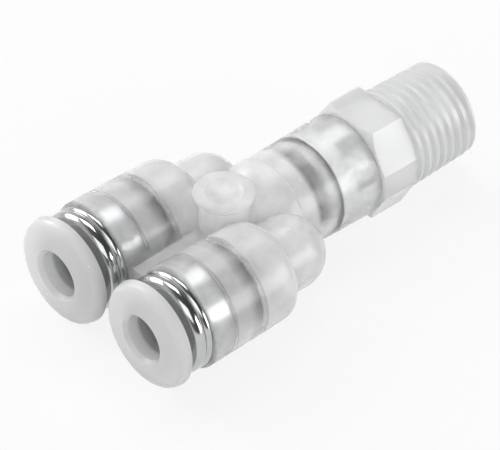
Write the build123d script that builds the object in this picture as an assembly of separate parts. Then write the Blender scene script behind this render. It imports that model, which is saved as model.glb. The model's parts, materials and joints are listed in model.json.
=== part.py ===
from build123d import *
import math
import os

# Push-in Y connector for plastic tube: two tube sockets side by side, one swivelling male stud.
# Millimetres. The origin is on the stud's axis, at the shoulder between its hexagon and its thread.
# +X points out along the thread, +Y to the left socket, +Z up, square to the plane of the Y.

# Tube and sockets
tube_bore_radius = 3.15          # hole for a 6 mm tube, in the release ring and in the body
tube_grip_radius = 2.92          # free radius of the claws' tips and of the seal's lip
socket_spacing = 16.15            # between the two socket axes

# Barrels of the body
barrel_length = 15.2             # from the mouth to the closed end
barrel_mouth_radius = 7.2
barrel_root_radius = 6.88
barrel_mouth_round = 0.4
barrel_end_round = 2.6
web_thickness = 3.9              # flat web between the two barrels
web_setback = 0.4                # from the barrels' mouths to the web's front edge

# Stepped pocket in each barrel, from the mouth inwards
sleeve_seat_radius = 6.0
sleeve_seat_depth = 3.45
seal_pocket_radius = 5.4
seal_pocket_depth = 6.6
tube_seat_depth = 4.9
passage_radius = 2.3
cross_passage_radius = 2.2       # from arm to arm through the yoke
stem_passage_radius = 2.5        # from the yoke into the stem

# Yoke: domed arms behind the barrels, the domed end of the stem, and a round pad on a post
arm_radius = 4.95
arm_spacing = 15.75
arm_reach = 3.05                 # from the barrels' closed end to the domes' centres
arm_setback = 4.45               # from the arms' centres to the middle dome's back
centre_radius = 6.97
centre_length = 0.9              # straight length of the middle dome
centre_round = 0.4
pad_radius = 4.05
pad_stand = 0.23                 # from the middle dome's top line up to the pad's face
pad_thickness = 0.45
pad_setback = 8.0                # from the pad's centre to the middle dome's back
pad_round = 0.3
post_radius = 3.3
dish_radius = 2.47
dish_depth = 0.5

# Stem of the body
stem_length = 12.7
stem_mouth_radius = 7.04
stem_root_radius = 6.77
stem_mouth_round = 0.35
ring_seat_radius = 6.0
ring_seat_depth = 6.0
stud_pocket_radius = 5.3
stud_pocket_depth = 5.1

# Threaded stud: hexagon, thread with its relief, and the spigot in the stem
hex_across_flats = 14.0
hex_across_cut_corners = 14.0    # the two corners on the sides are cut back
hex_length = 5.5
hex_chamfer_radius = 7.0
hex_chamfer_length = 0.75
hex_chamfer_angle = 30.0         # from the hexagon's front face
hex_sides = 6
thread_length = 11.2
thread_start_radius = 6.76
thread_end_radius = 6.46
thread_end_chamfer = 0.6
thread_pitch = 1.337             # 19 turns to the inch
thread_depth = 0.6
thread_root_width = 0.35         # flat at the bottom of the groove
thread_flank_angle = 27.5        # between each flank and the square to the axis
thread_turn = 210.0              # turns the whole groove about the axis
groove_overrun = 0.8             # how far the groove is wound past both ends of the thread
groove_rise = 0.2                # how far the groove's section stands out of the crest
relief_radius = 6.15
relief_length = 0.7
stud_bore_radius = 2.6
stud_mouth_chamfer = 0.4
neck_radius = 4.6
seal_groove_radius = 3.5
seal_groove_width = 2.3
seal_groove_setback = 1.15       # from the spigot's inner end to the groove

# Snap ring that holds the stud in the stem
ring_setback = 0.5               # below the stem's mouth
notch_count = 8
notch_width = 2.4
notch_depth = 3.0

# Guide sleeve
sleeve_stand = 2.65              # how far it stands out of the barrel
sleeve_ridge_radius = 6.78
sleeve_groove_radius = 6.5
sleeve_groove_place = 1.05       # from the barrel's mouth to the groove between the ridges
sleeve_edge_radius = 6.35

# Release ring
ring_travel = 1.35
ring_overhang = 0.22             # from the barrel's mouth radius out to the flange
ring_flange_thickness = 2.15
ring_rim_draft = 0.12            # the rim is smaller where it turns into the front face
ring_face_drop = 0.45            # the face falls back from the hole to the rim
ring_front_round = 1.0
ring_rear_round = 0.25
ring_lead_in_radius = 3.57
ring_lead_in_depth = 0.6
ring_barrel_radius = 4.6
ring_hook_radius = 4.9
ring_hook_length = 1.1
ring_nose_length = 0.5

# Lock claws
claw_thickness = 0.35
claw_rim_radius = 4.9            # where the flat rim turns into the teeth
claw_reach = 1.3
claw_count = 12
claw_slot_width = 0.55
claw_slot_radius = 4.5
claw_slot_length = 3.9           # more than the claws reach

# Seals
seal_length = 4.0
seal_setback = 0.05              # from the pocket's end
seal_body_radius = 3.4
seal_lip_length = 0.7
seal_lip_root = 1.4              # from the seal's front to the lip's root
seal_groove_depth = 1.3
seal_outer_wall = 0.8
cord_diameter = 1.75

# Clearances
running_clearance = 0.07         # between pieces that slide or turn
seated_clearance = 0.02          # between pieces that are fixed together
swivel_gap = 0.15                # between the hexagon and the stem, and behind the spigot
claw_gap = 0.1                   # between the pushed ring and the claws
catch_gap = 0.1                  # between the ring's hook and the catch in the sleeve
ring_stop_gap = 0.15             # between the pushed ring and the sleeve

# Places and radii worked out from the sizes above
stem_mouth_x = -(hex_length + swivel_gap)
centre_back_x = stem_mouth_x - stem_length
arm_x = centre_back_x - arm_setback
barrel_end_x = arm_x - arm_reach
barrel_mouth_x = barrel_end_x - barrel_length
sleeve_seat_x = barrel_mouth_x + sleeve_seat_depth
seal_pocket_x = sleeve_seat_x + seal_pocket_depth
tube_stop_x = seal_pocket_x + tube_seat_depth
ring_seat_x = stem_mouth_x - ring_seat_depth
stud_pocket_x = ring_seat_x - stud_pocket_depth
spigot_end_x = stud_pocket_x + swivel_gap
claw_x = sleeve_seat_x - claw_thickness
sleeve_front_x = barrel_mouth_x - sleeve_stand
ring_rear_x = sleeve_front_x - ring_travel - ring_stop_gap
ring_front_x = ring_rear_x - ring_flange_thickness
ring_nose_x = claw_x - claw_gap - ring_travel
ring_hook_x = ring_nose_x - ring_hook_length
ring_flange_radius = barrel_mouth_radius + ring_overhang
ring_rim_radius = ring_flange_radius - ring_rim_draft
pad_height = centre_radius + pad_stand
thread_taper_length = thread_length - thread_end_chamfer - relief_length
thread_taper = (thread_start_radius - thread_end_radius) / thread_taper_length
socket_y = socket_spacing / 2
arm_y = arm_spacing / 2


def turned(*edges):
    """Solid turned about X from the edges of a closed outline: X along the axis, Y the radius."""
    return revolve(make_face(list(edges)), Axis.X)


def turned_points(*points):
    """Solid turned about X from the corners of its outline."""
    return revolve(make_face(Polyline(*points, close=True)), Axis.X)


def rod(radius, start_x, end_x):
    """Round bar along X between two places."""
    return Pos((start_x + end_x) / 2, 0, 0) * Rot(0, 90, 0) * Cylinder(radius, abs(end_x - start_x))


def barrel():
    """Outside of one socket: a tapered barrel with a rounded mouth and a round closed end."""
    mouth_inner = (barrel_mouth_x, barrel_mouth_radius - barrel_mouth_round)
    mouth_outer = (barrel_mouth_x + barrel_mouth_round, barrel_mouth_radius)
    round_start = (barrel_end_x - barrel_end_round, barrel_root_radius)
    round_end = (barrel_end_x, barrel_root_radius - barrel_end_round)
    return turned(
        Line((barrel_mouth_x, 0), mouth_inner),
        RadiusArc(mouth_inner, mouth_outer, barrel_mouth_round),
        Line(mouth_outer, round_start),
        RadiusArc(round_start, round_end, barrel_end_round),
        Line(round_end, (barrel_end_x, 0)),
        Line((barrel_end_x, 0), (barrel_mouth_x, 0)),
    )


def arm():
    """Domed arm behind one barrel."""
    start_x = barrel_end_x - barrel_end_round
    dome_start = (arm_x, arm_radius)
    dome_end = (arm_x + arm_radius, 0)
    return turned(
        Line((start_x, 0), (start_x, arm_radius)),
        Line((start_x, arm_radius), dome_start),
        RadiusArc(dome_start, dome_end, arm_radius),
        Line(dome_end, (start_x, 0)),
    )


def centre_piece():
    """Domed end of the stem, between the arms."""
    dome_x = centre_back_x - centre_length
    straight_end = (centre_back_x - centre_round, centre_radius)
    back_edge = (centre_back_x, centre_radius - centre_round)
    tip = (dome_x - centre_radius, 0)
    return turned(
        Line(tip, (centre_back_x, 0)),
        Line((centre_back_x, 0), back_edge),
        RadiusArc(straight_end, back_edge, centre_round),
        Line(straight_end, (dome_x, centre_radius)),
        RadiusArc(tip, (dome_x, centre_radius), centre_radius),
    )


def pad():
    """Round pad with a dished face, on a narrower post."""
    side_height = pad_height - pad_thickness
    cone_height = side_height - (pad_radius - post_radius)
    dish_bend = (dish_radius ** 2 + dish_depth ** 2) / (2 * dish_depth)
    dish_bottom = (0, pad_height - dish_depth)
    dish_edge = (dish_radius, pad_height)
    round_start = (pad_radius - pad_round, pad_height)
    round_end = (pad_radius, pad_height - pad_round)
    outline = make_face([
        Line((0, 0), dish_bottom),
        RadiusArc(dish_bottom, dish_edge, -dish_bend),
        Line(dish_edge, round_start),
        RadiusArc(round_start, round_end, pad_round),
        Line(round_end, (pad_radius, side_height)),
        Line((pad_radius, side_height), (post_radius, cone_height)),
        Line((post_radius, cone_height), (post_radius, 0)),
        Line((post_radius, 0), (0, 0)),
    ])
    pad_x = centre_back_x - pad_setback
    return Pos(pad_x, 0, 0) * Rot(90, 0, 0) * revolve(outline, Axis.Y)


def stem():
    """Outside of the stem, slightly wider at its mouth."""
    mouth_inner = (stem_mouth_x, stem_mouth_radius - stem_mouth_round)
    mouth_outer = (stem_mouth_x - stem_mouth_round, stem_mouth_radius)
    root_x = centre_back_x - centre_round
    return turned(
        Line((stem_mouth_x, 0), mouth_inner),
        RadiusArc(mouth_outer, mouth_inner, stem_mouth_round),
        Line(mouth_outer, (root_x, stem_root_radius)),
        Line((root_x, stem_root_radius), (root_x, 0)),
        Line((root_x, 0), (stem_mouth_x, 0)),
    )


def web():
    """Flat web that joins the two barrels along their length."""
    front_x = barrel_mouth_x + web_setback
    length = arm_x - front_x
    return Pos(front_x + length / 2, 0, 0) * Box(length, socket_spacing, web_thickness)


def socket_pocket():
    """Stepped pocket of one socket, cut out of the barrel."""
    return (
        rod(sleeve_seat_radius, barrel_mouth_x, sleeve_seat_x)
        + rod(seal_pocket_radius, sleeve_seat_x, seal_pocket_x)
        + rod(tube_bore_radius, seal_pocket_x, tube_stop_x)
    )


def arm_passage():
    """Flow passage from the tube's stop into one arm."""
    return rod(passage_radius, tube_stop_x, arm_x + passage_radius)


def stem_pocket():
    """Pocket for the stud and its snap ring, and the passage to the arms."""
    cross = Pos(arm_x, 0, 0) * Rot(90, 0, 0) * Cylinder(cross_passage_radius, arm_spacing)
    return (
        rod(ring_seat_radius, ring_seat_x, stem_mouth_x)
        + rod(stud_pocket_radius, stud_pocket_x, ring_seat_x)
        + rod(stem_passage_radius, arm_x - passage_radius, stud_pocket_x)
        + cross
    )


def y_body():
    """Moulded body: barrels, arms, web, centre piece and stem, with all its bores."""
    sockets = [
        Pos(0, side * socket_y, 0) * barrel() + Pos(0, side * arm_y, 0) * arm()
        for side in (1, -1)
    ]
    body = sockets[0] + sockets[1] + web() + centre_piece() + pad() + stem()
    for side in (1, -1):
        body -= Pos(0, side * socket_y, 0) * socket_pocket()
        body -= Pos(0, side * arm_y, 0) * arm_passage()
    return body - stem_pocket()


def hexagon():
    """Hexagon with flats up and down, its side corners cut back and its front corners chamfered."""
    corner_radius = hex_across_flats / 2 / math.cos(math.pi / hex_sides)
    outline = RegularPolygon(corner_radius, hex_sides)
    outline = outline & Rectangle(hex_across_cut_corners, hex_across_flats)
    bar = Plane.YZ * extrude(outline, -hex_length)
    chamfer_end_x = -hex_length + hex_chamfer_length
    chamfer_growth = hex_chamfer_length / math.tan(math.radians(hex_chamfer_angle))
    chamfer_end_radius = hex_chamfer_radius + chamfer_growth
    envelope = turned_points(
        (-hex_length, 0),
        (-hex_length, hex_chamfer_radius),
        (chamfer_end_x, chamfer_end_radius),
        (0, chamfer_end_radius),
        (0, 0),
    )
    return bar & envelope


def thread_crest(x):
    """Radius of the thread's crest at a place along the axis."""
    return thread_start_radius - thread_taper * (x - relief_length)


def thread_groove():
    """Groove that winds along the taper, and on past both ends of the thread."""
    start_x = -groove_overrun
    crest = thread_crest(start_x)
    root_half = thread_root_width / 2
    spread = (thread_depth + groove_rise) * math.tan(math.radians(thread_flank_angle))
    section = make_face(Polyline(
        (crest - thread_depth, 0, -root_half),
        (crest + groove_rise, 0, -root_half - spread),
        (crest + groove_rise, 0, root_half + spread),
        (crest - thread_depth, 0, root_half),
        close=True,
    ))
    path = Helix(
        pitch=thread_pitch,
        height=thread_length + 2 * groove_overrun,
        radius=crest - thread_depth,
        cone_angle=-math.degrees(math.atan(thread_taper)),
    )
    place = Pos(start_x, 0, 0) * Rot(thread_turn, 0, 0) * Rot(0, 90, 0)
    return place * sweep(section, path=path, is_frenet=True)


def thread():
    """Taper thread: the groove cut from a longer cone, which is then cut to the relief and end chamfer."""
    cone_start_x = -2 * groove_overrun
    cone_end_x = thread_length + 2 * groove_overrun
    cone = turned_points(
        (cone_start_x, 0),
        (cone_start_x, thread_crest(cone_start_x)),
        (cone_end_x, thread_crest(cone_end_x)),
        (cone_end_x, 0),
    )
    tip_radius = thread_end_radius - thread_end_chamfer
    outer_radius = thread_start_radius + groove_rise
    ends = turned_points(
        (0, 0),
        (0, relief_radius),
        (relief_length, relief_radius),
        (relief_length, outer_radius),
        (thread_length - (outer_radius - tip_radius), outer_radius),
        (thread_length, tip_radius),
        (thread_length, 0),
    )
    return (cone - thread_groove()) & ends


def spigot():
    """Inner end of the stud: a neck for the snap ring and a collar with the seal's groove."""
    collar_x = ring_seat_x - running_clearance
    groove_x = spigot_end_x + seal_groove_setback
    collar_radius = stud_pocket_radius - running_clearance
    return turned_points(
        (spigot_end_x, 0),
        (spigot_end_x, collar_radius),
        (groove_x, collar_radius),
        (groove_x, seal_groove_radius),
        (groove_x + seal_groove_width, seal_groove_radius),
        (groove_x + seal_groove_width, collar_radius),
        (collar_x, collar_radius),
        (collar_x, neck_radius),
        (-hex_length, neck_radius),
        (-hex_length, 0),
    )


def threaded_stud():
    """Hexagon, thread and spigot in one piece, bored through."""
    bore = rod(stud_bore_radius, spigot_end_x, thread_length)
    mouth = turned_points(
        (thread_length - stud_mouth_chamfer, 0),
        (thread_length - stud_mouth_chamfer, stud_bore_radius),
        (thread_length, stud_bore_radius + stud_mouth_chamfer),
        (thread_length, 0),
    )
    return hexagon() + thread() + spigot() - bore - mouth


def swivel_seal():
    """Seal of round section in the spigot's groove."""
    mean_radius = stud_pocket_radius - seated_clearance - cord_diameter / 2
    groove_middle_x = spigot_end_x + seal_groove_setback + seal_groove_width / 2
    return Pos(groove_middle_x, 0, 0) * Rot(0, 90, 0) * Torus(mean_radius, cord_diameter / 2)


def snap_ring():
    """Ring pressed into the stem's mouth, with notches that let it spring over the collar."""
    front_x = stem_mouth_x - ring_setback
    outer = rod(ring_seat_radius - seated_clearance, ring_seat_x, front_x)
    ring = outer - rod(neck_radius + running_clearance, ring_seat_x, front_x)
    notch_x = front_x - notch_depth / 2
    notch = Pos(notch_x, ring_seat_radius, 0) * Box(notch_depth, 2 * ring_seat_radius, notch_width)
    for turn in range(notch_count):
        ring -= Rot(360 * (turn + 0.5) / notch_count, 0, 0) * notch
    return ring


def guide_sleeve():
    """Steel sleeve: two rounded ridges outside the barrel, an insert inside, a catch in its bore."""
    groove_x = barrel_mouth_x - sleeve_groove_place
    front_edge = (sleeve_front_x, sleeve_edge_radius)
    front_crest = ((sleeve_front_x + groove_x) / 2, sleeve_ridge_radius)
    groove = (groove_x, sleeve_groove_radius)
    rear_crest = ((groove_x + barrel_mouth_x) / 2, sleeve_ridge_radius)
    rear_edge = (barrel_mouth_x, sleeve_groove_radius)
    insert_radius = sleeve_seat_radius - seated_clearance
    bore_radius = ring_barrel_radius + running_clearance
    catch_radius = ring_hook_radius + running_clearance
    catch_x = ring_hook_x - catch_gap
    return turned(
        Line((sleeve_front_x, bore_radius), front_edge),
        ThreePointArc(front_edge, front_crest, groove),
        ThreePointArc(groove, rear_crest, rear_edge),
        Line(rear_edge, (barrel_mouth_x, insert_radius)),
        Line((barrel_mouth_x, insert_radius), (claw_x, insert_radius)),
        Line((claw_x, insert_radius), (claw_x, catch_radius)),
        Line((claw_x, catch_radius), (catch_x, catch_radius)),
        Line((catch_x, catch_radius), (catch_x, bore_radius)),
        Line((catch_x, bore_radius), (sleeve_front_x, bore_radius)),
    )


def release_ring():
    """Flanged ring that frees the tube: rounded flange, lead-in, barrel and hooked nose."""
    flat_x = ring_nose_x - ring_nose_length
    face_end_x = ring_front_x + ring_face_drop
    face_end = (face_end_x, ring_rim_radius - ring_front_round)
    rim_start = (face_end_x + ring_front_round, ring_rim_radius)
    rim_end = (ring_rear_x - ring_rear_round, ring_flange_radius)
    rear_start = (ring_rear_x, ring_flange_radius - ring_rear_round)
    return turned(
        Line((ring_front_x, ring_lead_in_radius), face_end),
        RadiusArc(face_end, rim_start, ring_front_round),
        Line(rim_start, rim_end),
        RadiusArc(rim_end, rear_start, ring_rear_round),
        Line(rear_start, (ring_rear_x, ring_barrel_radius)),
        Line((ring_rear_x, ring_barrel_radius), (ring_hook_x, ring_barrel_radius)),
        Line((ring_hook_x, ring_barrel_radius), (ring_hook_x, ring_hook_radius)),
        Line((ring_hook_x, ring_hook_radius), (flat_x, ring_hook_radius)),
        Line((flat_x, ring_hook_radius), (ring_nose_x, ring_barrel_radius)),
        Line((ring_nose_x, ring_barrel_radius), (ring_nose_x, tube_bore_radius)),
        Line((ring_nose_x, tube_bore_radius), (ring_front_x + ring_lead_in_depth, tube_bore_radius)),
        Line((ring_front_x + ring_lead_in_depth, tube_bore_radius), (ring_front_x, ring_lead_in_radius)),
    )


def lock_claws():
    """Stamped ring: a flat rim held by the sleeve, and teeth that lean in towards the tube."""
    tip_x = claw_x + claw_reach
    blank = turned_points(
        (claw_x, sleeve_seat_radius - seated_clearance),
        (claw_x + claw_thickness, sleeve_seat_radius - seated_clearance),
        (claw_x + claw_thickness, claw_rim_radius),
        (tip_x + claw_thickness, tube_grip_radius),
        (tip_x, tube_grip_radius),
        (claw_x, claw_rim_radius),
    )
    slot_place = Pos(tip_x, claw_slot_radius / 2, 0)
    slot = slot_place * Box(claw_slot_length, claw_slot_radius, claw_slot_width)
    for turn in range(claw_count):
        blank -= Rot(360 * turn / claw_count, 0, 0) * slot
    return blank


def tube_seal():
    """Lip seal at the end of its pocket, its lip towards the mouth."""
    back_x = seal_pocket_x - seal_setback
    front_x = back_x - seal_length
    outer = seal_pocket_radius - seated_clearance
    groove_x = front_x + seal_groove_depth
    return turned_points(
        (back_x, outer),
        (front_x, outer),
        (front_x, outer - seal_outer_wall),
        (groove_x, (outer + tube_grip_radius) / 2),
        (front_x, tube_grip_radius + seal_outer_wall),
        (front_x, tube_grip_radius),
        (front_x + seal_lip_length, tube_grip_radius),
        (front_x + seal_lip_root, seal_body_radius),
        (back_x, seal_body_radius),
    )


parts = {
    "y_body": y_body(),
    "threaded_stud": threaded_stud(),
    "swivel_seal": swivel_seal(),
    "snap_ring": snap_ring(),
}
for name, side in (("left", 1), ("right", -1)):
    place = Pos(0, side * socket_y, 0)
    parts[f"release_ring_{name}"] = place * release_ring()
    parts[f"guide_sleeve_{name}"] = place * guide_sleeve()
    parts[f"lock_claws_{name}"] = place * lock_claws()
    parts[f"tube_seal_{name}"] = place * tube_seal()

os.makedirs("parts", exist_ok=True)
for name, solid in parts.items():
    export_step(solid, f"parts/{name}.step")
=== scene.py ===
"""Looks of the tubing Y connector: frosted plastic, polished steel, studio light.

The frame is the CAD's: +X out along the thread, +Y to the left socket, +Z up. Lengths are in metres,
and the places of the changes in a material are in millimetres.
"""
import json
import math

import bmesh
import bpy
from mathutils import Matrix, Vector


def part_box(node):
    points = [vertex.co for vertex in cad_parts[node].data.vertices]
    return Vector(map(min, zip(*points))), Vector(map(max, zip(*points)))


MM = 0.001
WHITE = (1, 1, 1, 1)

# The photograph's view
VIEW_AZIMUTH = math.radians(-41.68)
VIEW_ELEVATION = math.radians(40.971)
VIEW_TARGET = Vector((-22.72, -0.82, 0.0)) * MM
VIEW_DISTANCE = 1477.5 * MM
VIEW_LENS = 845.0
VIEW_REACH = 20.0

# The floor, which glows white in the rays that see it as a background
FLOOR_HALF_WIDTH = 2.0
FLOOR_GAP = 0.02 * MM
FLOOR_GREY = 0.8
FLOOR_GLOW = 0.85
FLOOR_RAYS = ("Is Camera Ray", "Is Glossy Ray", "Is Transmission Ray")

# The studio around it: white in some rays, and in all others grey from its light side to its dark one
WHITE_RAYS = ("Is Camera Ray", "Is Transmission Ray")
DARK_SIDE = (0.45, -0.72, 0.53)
WALL_GREYS = ((0.0, 0.75), (0.45, 0.65), (0.62, 0.15), (1.0, 0.06))

# How clear the body is by the place along X: the share of the light that goes straight through
MILKY = 0.35
BODY_CLEARNESS = (
    (-42.0, 0.78), (-38.0, 0.78),                   # over the steel sleeve
    (-37.6, 0.95),                                  # the step where the sleeve's seat ends
    (-37.2, 0.58), (-35.2, 0.5),                    # over the claws, up to the tube seal
    (-34.4, 0.65), (-33.0, 0.92), (-32.5, 0.92),    # over the tube seal
    (-32.1, MILKY), (-16.4, MILKY),                 # the barrels' closed ends, and the yoke
    (-15.7, 0.85), (-5.0, 0.8),                     # the stem's wall, over the spigot and snap ring
)

# How far the clearness goes up and down by noise
CLOUDINESS = 0.15

# The web between the barrels stays milky: the most clearness by Y, and by X, where the web ends
WEB_LIMIT_BESIDE = ((-9.0, 1.0), (-2.0, 1.0), (-1.0, MILKY), (1.0, MILKY), (2.0, 1.0), (9.0, 1.0))
WEB_LIMIT_PAST = ((-42.0, MILKY), (-19.0, MILKY), (-17.0, 1.0), (-5.0, 1.0))

# How light the release ring is painted by X: full on its flange, and painted shade behind it, darker
# deep in the bore
RING_PAINTED_SHADE = ((-45.4, 1.0), (-44.9, 0.55), (-38.0, 0.55))

# The least roughness of the steel sleeve by X: none outside, and dull where it sits in the barrel
SLEEVE_DULLNESS = ((-41.2, 0.0), (-41.0, 0.3), (-37.0, 0.3))


def make_camera():
    back = Vector((
        math.sin(VIEW_AZIMUTH) * math.cos(VIEW_ELEVATION),
        -math.cos(VIEW_AZIMUTH) * math.cos(VIEW_ELEVATION),
        math.sin(VIEW_ELEVATION),
    ))
    camera = bpy.data.objects.new("camera", bpy.data.cameras.new("camera"))
    camera.location = VIEW_TARGET + back * VIEW_DISTANCE
    camera.rotation_euler = back.to_track_quat("Z", "Y").to_euler()
    camera.data.lens = VIEW_LENS
    camera.data.clip_end = VIEW_REACH
    bpy.context.scene.collection.objects.link(camera)
    bpy.context.scene.camera = camera


def add_math(tree, operation, first, second):
    """Result of an operation on two outputs."""
    node = tree.nodes.new("ShaderNodeMath")
    node.operation = operation
    tree.links.new(first, node.inputs[0])
    tree.links.new(second, node.inputs[1])
    return node.outputs[0]


def add_ramp(tree, source, start, end, stops):
    """Grey by `source`. Each stop is a share of the way from `start` to `end`, and a grey."""
    share = tree.nodes.new("ShaderNodeMapRange")
    share.inputs["From Min"].default_value = start
    share.inputs["From Max"].default_value = end
    tree.links.new(source, share.inputs["Value"])
    ramp = tree.nodes.new("ShaderNodeValToRGB")
    elements = ramp.color_ramp.elements
    for i, (place, grey) in enumerate(stops):
        stop = elements[i] if i < 2 else elements.new(place)
        stop.position = place
        stop.color = (grey, grey, grey, 1)
    tree.links.new(share.outputs["Result"], ramp.inputs["Fac"])
    return ramp.outputs["Color"]


def add_mix(tree, share, first, second, output):
    """Feeds `output` with the first shader, and with the second one by `share`."""
    mix = tree.nodes.new("ShaderNodeMixShader")
    tree.links.new(share, mix.inputs[0])
    tree.links.new(first.outputs[0], mix.inputs[1])
    tree.links.new(second.outputs[0], mix.inputs[2])
    tree.links.new(mix.outputs[0], tree.nodes.new(output).inputs["Surface"])


def rays_of(tree, kinds):
    """1 for rays of these kinds, and 0 for all others."""
    path = tree.nodes.new("ShaderNodeLightPath")
    total = path.outputs[kinds[0]]
    for kind in kinds[1:]:
        total = add_math(tree, "MAXIMUM", total, path.outputs[kind])
    return total


class Material:
    """A Principled material that varies by noise and by place."""

    def __init__(self, name):
        self.material = bpy.data.materials.new(name)
        self.material.use_nodes = True
        self.tree = self.material.node_tree
        self.shader = self.tree.nodes["Principled BSDF"]
        self.place = self.add("TexCoord").outputs["Object"]

    def add(self, kind):
        return self.tree.nodes.new("ShaderNode" + kind)

    def feed(self, socket, output):
        """Feeds a socket of the shader."""
        self.tree.links.new(output, self.shader.inputs[socket])

    def set(self, **values):
        """Gives sockets of the shader a constant: an underscore in a name stands for a space."""
        for socket, value in values.items():
            self.shader.inputs[socket.replace("_", " ")].default_value = value

    def milky(self, reach):
        """Light that goes into the surface spreads about `reach` metres."""
        self.set(Subsurface_Weight=1.0, Subsurface_Radius=(1, 1, 1), Subsurface_Scale=reach)

    def noise(self, size, stretch=(1, 1, 1), detail=3.0):
        """Noise between 0 and 1 whose grain is about `size` metres."""
        mapping = self.add("Mapping")
        mapping.inputs["Scale"].default_value = stretch
        self.tree.links.new(self.place, mapping.inputs["Vector"])
        noise = self.add("TexNoise")
        noise.inputs["Scale"].default_value = 1 / size
        noise.inputs["Detail"].default_value = detail
        self.tree.links.new(mapping.outputs["Vector"], noise.inputs["Vector"])
        return noise.outputs["Fac"]

    def along(self, axis, stops):
        """A value by the place along an axis, from pairs of a place in millimetres and a value."""
        split = self.add("SeparateXYZ")
        self.tree.links.new(self.place, split.inputs["Vector"])
        first, last = stops[0][0], stops[-1][0]
        shares = [((place - first) / (last - first), value) for place, value in stops]
        return add_ramp(self.tree, split.outputs[axis], first * MM, last * MM, shares)

    def combine(self, operation, first, second):
        """Result of an operation on two values."""
        return add_math(self.tree, operation, first, second)

    def spread(self, low, high, factor):
        """`factor` spread from `low` to `high`."""
        node = self.add("MapRange")
        node.inputs["To Min"].default_value = low
        node.inputs["To Max"].default_value = high
        self.tree.links.new(factor, node.inputs["Value"])
        return node.outputs["Result"]

    def colour(self, low, high, factor, shade=None):
        """Between two colours by `factor`, times `shade`."""
        mix = self.add("Mix")
        mix.data_type = "RGBA"
        mix.inputs["A"].default_value = (*low, 1)
        mix.inputs["B"].default_value = (*high, 1)
        self.tree.links.new(factor, mix.inputs["Factor"])
        result = mix.outputs["Result"]
        if shade is not None:
            product = self.add("VectorMath")
            product.operation = "MULTIPLY"
            self.tree.links.new(result, product.inputs[0])
            self.tree.links.new(shade, product.inputs[1])
            result = product.outputs["Vector"]
        self.feed("Base Color", result)

    def roughness(self, low, high, factor, least=None):
        """Between two values by `factor`, and nowhere under `least`."""
        result = self.spread(low, high, factor)
        if least is not None:
            result = self.combine("MAXIMUM", result, least)
        self.feed("Roughness", result)

    def bump(self, height, painted_bore_shade, strength):
        """Fine relief of `painted_bore_shade` metres."""
        node = self.add("Bump")
        node.inputs["Distance"].default_value = painted_bore_shade
        node.inputs["Strength"].default_value = strength
        self.tree.links.new(height, node.inputs["Height"])
        self.feed("Normal", node.outputs["Normal"])


def body_plastic():
    plastic = Material("body_plastic")
    plastic.set(IOR=1.22, Coat_Weight=0.5, Coat_Roughness=0.26)
    by_place = plastic.along("X", BODY_CLEARNESS)
    beside_web = plastic.along("Y", WEB_LIMIT_BESIDE)
    past_web = plastic.along("X", WEB_LIMIT_PAST)
    limit = plastic.combine("MAXIMUM", beside_web, past_web)
    clear = plastic.combine("MINIMUM", by_place, limit)
    cloudy = plastic.spread(-CLOUDINESS, CLOUDINESS, plastic.noise(2.5 * MM))
    plastic.feed("Transmission Weight", plastic.combine("ADD", clear, cloudy))
    plastic.milky(7.0 * MM)
    plastic.colour((0.91, 0.915, 0.915), (0.95, 0.955, 0.955), plastic.noise(6 * MM))
    plastic.roughness(0.2, 0.3, plastic.noise(1.5 * MM))
    plastic.bump(plastic.noise(3.0 * MM, detail=1.0), 0.04 * MM, 0.3)
    return plastic.material


def stud_plastic():
    plastic = Material("stud_plastic")
    plastic.set(IOR=1.3, Transmission_Weight=0.45, Coat_Weight=0.7, Coat_Roughness=0.25)
    plastic.milky(1.6 * MM)
    plastic.colour((0.88, 0.885, 0.885), (0.92, 0.925, 0.925), plastic.noise(5 * MM))
    plastic.roughness(0.25, 0.35, plastic.noise(1.2 * MM))
    plastic.bump(plastic.noise(0.25 * MM), 0.01 * MM, 0.5)
    return plastic.material


def ring_plastic():
    plastic = Material("ring_plastic")
    plastic.set(IOR=1.3, Transmission_Weight=0.25, Coat_Weight=0.4, Coat_Roughness=0.24)
    plastic.milky(6.0 * MM)
    # Painted shade: the base colour darkens behind the flange, deep in the bore
    painted_bore_shade = plastic.along("X", RING_PAINTED_SHADE)
    plastic.colour((0.96, 0.965, 0.965), (0.99, 0.995, 0.995), plastic.noise(4 * MM), painted_bore_shade)
    plastic.roughness(0.2, 0.3, plastic.noise(0.8 * MM))
    plastic.bump(plastic.noise(0.4 * MM), 0.012 * MM, 0.4)
    return plastic.material


def clip_plastic():
    plastic = Material("clip_plastic")
    plastic.set(IOR=1.45)
    plastic.colour((0.74, 0.745, 0.745), (0.84, 0.845, 0.845), plastic.noise(3 * MM))
    plastic.roughness(0.35, 0.5, plastic.noise(0.6 * MM))
    plastic.bump(plastic.noise(0.3 * MM), 0.01 * MM, 0.4)
    return plastic.material


def sleeve_steel():
    steel = Material("sleeve_steel")
    steel.set(Metallic=1.0)
    # Fine rings about the axis, as turning leaves them
    turned = steel.noise(0.12 * MM, stretch=(8, 0.3, 0.3), detail=2.0)
    steel.colour((0.48, 0.485, 0.49), (0.60, 0.605, 0.61), steel.noise(2 * MM))
    steel.roughness(0.08, 0.18, turned, steel.along("X", SLEEVE_DULLNESS))
    steel.bump(turned, 0.004 * MM, 0.5)
    return steel.material


def claw_steel():
    steel = Material("claw_steel")
    steel.set(Metallic=1.0)
    steel.colour((0.46, 0.465, 0.47), (0.58, 0.585, 0.59), steel.noise(1 * MM))
    steel.roughness(0.25, 0.4, steel.noise(0.2 * MM))
    steel.bump(steel.noise(0.15 * MM), 0.004 * MM, 0.5)
    return steel.material


def seal_rubber():
    rubber = Material("seal_rubber")
    rubber.set(IOR=1.5)
    rubber.colour((0.035, 0.035, 0.035), (0.055, 0.055, 0.055), rubber.noise(1 * MM))
    rubber.roughness(0.55, 0.7, rubber.noise(0.3 * MM))
    rubber.bump(rubber.noise(0.1 * MM), 0.006 * MM, 0.5)
    return rubber.material


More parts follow.
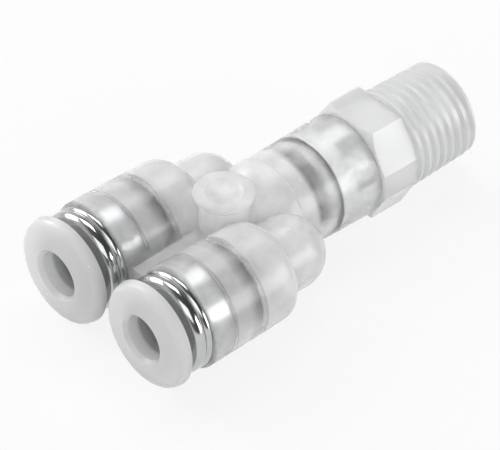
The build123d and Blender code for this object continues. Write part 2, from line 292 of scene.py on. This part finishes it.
def make_floor(height):
    data = bpy.data.meshes.new("floor")
    mesh = bmesh.new()
    half = FLOOR_HALF_WIDTH
    corners = [(-half, -half), (half, -half), (half, half), (-half, half)]
    mesh.faces.new([mesh.verts.new((x, y, height)) for x, y in corners])
    mesh.to_mesh(data)
    mesh.free()
    floor = bpy.data.objects.new("floor", data)
    bpy.context.scene.collection.objects.link(floor)
    floor.data.materials.append(floor_material())


def floor_material():
    material = bpy.data.materials.new("floor_paper")
    material.use_nodes = True
    tree = material.node_tree
    tree.nodes.clear()
    paper = tree.nodes.new("ShaderNodeBsdfDiffuse")
    paper.inputs["Color"].default_value = (FLOOR_GREY, FLOOR_GREY, FLOOR_GREY, 1)
    glow = tree.nodes.new("ShaderNodeEmission")
    glow.inputs["Color"].default_value = WHITE
    share = tree.nodes.new("ShaderNodeMath")
    share.operation = "MULTIPLY"
    share.inputs[1].default_value = FLOOR_GLOW
    tree.links.new(rays_of(tree, FLOOR_RAYS), share.inputs[0])
    add_mix(tree, share.outputs[0], paper, glow, "ShaderNodeOutputMaterial")
    return material


def make_world():
    """White for the camera and through the plastic. For all else a grey studio, darker to one side."""
    world = bpy.data.worlds.new("studio")
    bpy.context.scene.world = world
    world.use_nodes = True
    tree = world.node_tree
    tree.nodes.clear()
    studio = tree.nodes.new("ShaderNodeBackground")
    tree.links.new(studio_walls(tree), studio.inputs["Color"])
    white = tree.nodes.new("ShaderNodeBackground")
    white.inputs["Color"].default_value = WHITE
    add_mix(tree, rays_of(tree, WHITE_RAYS), studio, white, "ShaderNodeOutputWorld")


def studio_walls(tree):
    """Grey by direction: dark on the side that DARK_SIDE points to, light on the other."""
    direction = tree.nodes.new("ShaderNodeTexCoord").outputs["Generated"]
    towards_dark = tree.nodes.new("ShaderNodeVectorMath")
    towards_dark.operation = "DOT_PRODUCT"
    towards_dark.inputs[1].default_value = DARK_SIDE
    tree.links.new(direction, towards_dark.inputs[0])
    return add_ramp(tree, towards_dark.outputs["Value"], -1.0, 1.0, WALL_GREYS)


def soft_box(name, direction, distance, size, power):
    """A rectangular lamp that lights the object from a direction, `distance` metres away, in watts."""
    data = bpy.data.lights.new(name, "AREA")
    data.shape = "RECTANGLE"
    data.size, data.size_y = size
    data.energy = power
    lamp = bpy.data.objects.new(name, data)
    away = Vector(direction).normalized()
    lamp.location = VIEW_TARGET + away * distance
    lamp.rotation_euler = away.to_track_quat("Z", "Y").to_euler()
    bpy.context.scene.collection.objects.link(lamp)


def make_lights():
    soft_box("box_above", (0.35, 0.35, 0.85), distance=0.4, size=(0.26, 0.2), power=0.6)
    soft_box("box_right", (0.5, -0.85, 0.2), distance=0.35, size=(0.16, 0.2), power=0.6)
    soft_box("box_left", (-0.15, 0.85, 0.5), distance=0.45, size=(0.3, 0.25), power=1.0)
    soft_box("fill_front", (-0.55, -0.5, 0.66), distance=0.6, size=(0.5, 0.4), power=1.05)


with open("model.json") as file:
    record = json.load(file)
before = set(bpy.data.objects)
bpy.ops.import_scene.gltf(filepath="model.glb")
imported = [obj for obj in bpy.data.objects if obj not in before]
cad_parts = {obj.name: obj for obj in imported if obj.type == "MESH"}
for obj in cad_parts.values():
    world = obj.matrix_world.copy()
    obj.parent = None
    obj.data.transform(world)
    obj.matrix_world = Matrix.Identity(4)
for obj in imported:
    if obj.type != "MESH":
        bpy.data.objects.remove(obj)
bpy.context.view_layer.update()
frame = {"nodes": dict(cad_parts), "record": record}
make_camera()

makers = (
    body_plastic, stud_plastic, ring_plastic, clip_plastic, sleeve_steel, claw_steel, seal_rubber,
)
materials = {make.__name__: make() for make in makers}
for part in frame["record"]["subparts"]:
    node = frame["nodes"][part["node"]]
    node.data.materials.clear()
    node.data.materials.append(materials[part["material_slot"]])

lowest = min(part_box(part["node"])[0][2] for part in frame["record"]["subparts"])
make_floor(lowest - FLOOR_GAP)
make_world()
make_lights()
bpy.context.scene.view_settings.view_transform = "Standard"
